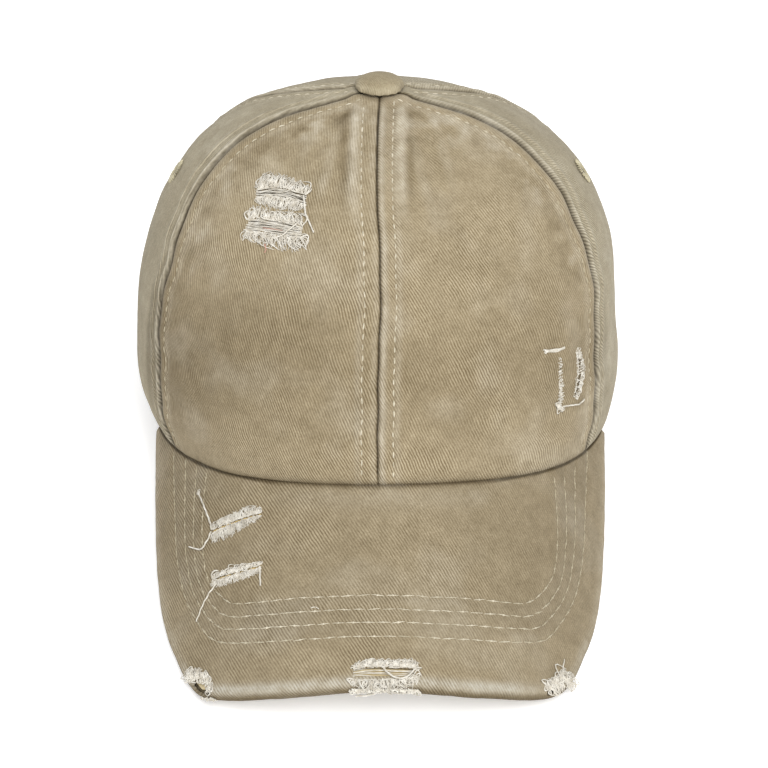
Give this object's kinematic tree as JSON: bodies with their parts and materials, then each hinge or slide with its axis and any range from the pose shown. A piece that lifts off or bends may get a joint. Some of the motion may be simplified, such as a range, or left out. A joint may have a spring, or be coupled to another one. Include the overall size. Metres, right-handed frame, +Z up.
{
  "type": "ponytail baseball cap",
  "caption": "Washed twill baseball cap with crown panels, a curved peak with frayed tears, a top button, sewn eyelets and an open back with a strap.",
  "frame": {"origin": "centre of the cap's box, on the surface that it rests on", "axes": "-Y towards the front of the peak, +Z up, +X to the right as the cap is seen from its front"},
  "size_m": [0.1742, 0.2616, 0.1373],
  "materials": {
    "twill_front": "washed cotton twill",
    "twill_side": "washed cotton twill",
    "twill_inside": "cotton twill band",
    "thread": "cotton thread",
    "board": "matt stiffener board"
  },
  "bodies": {
    "root": {"panel_front_left": "twill_front", "panel_front_right": "twill_front", "panel_side_left": "twill_side", "panel_side_right": "twill_side", "panel_back_left": "twill_side", "panel_back_right": "twill_side", "button": "twill_front", "eyelet_left": "thread", "eyelet_right": "thread", "peak_cloth_top": "twill_front", "peak_board": "board", "peak_cloth_under": "twill_front", "sweatband": "twill_inside", "opening_binding": "twill_side", "closure_strap": "twill_side"}
  },
  "joints": []
}
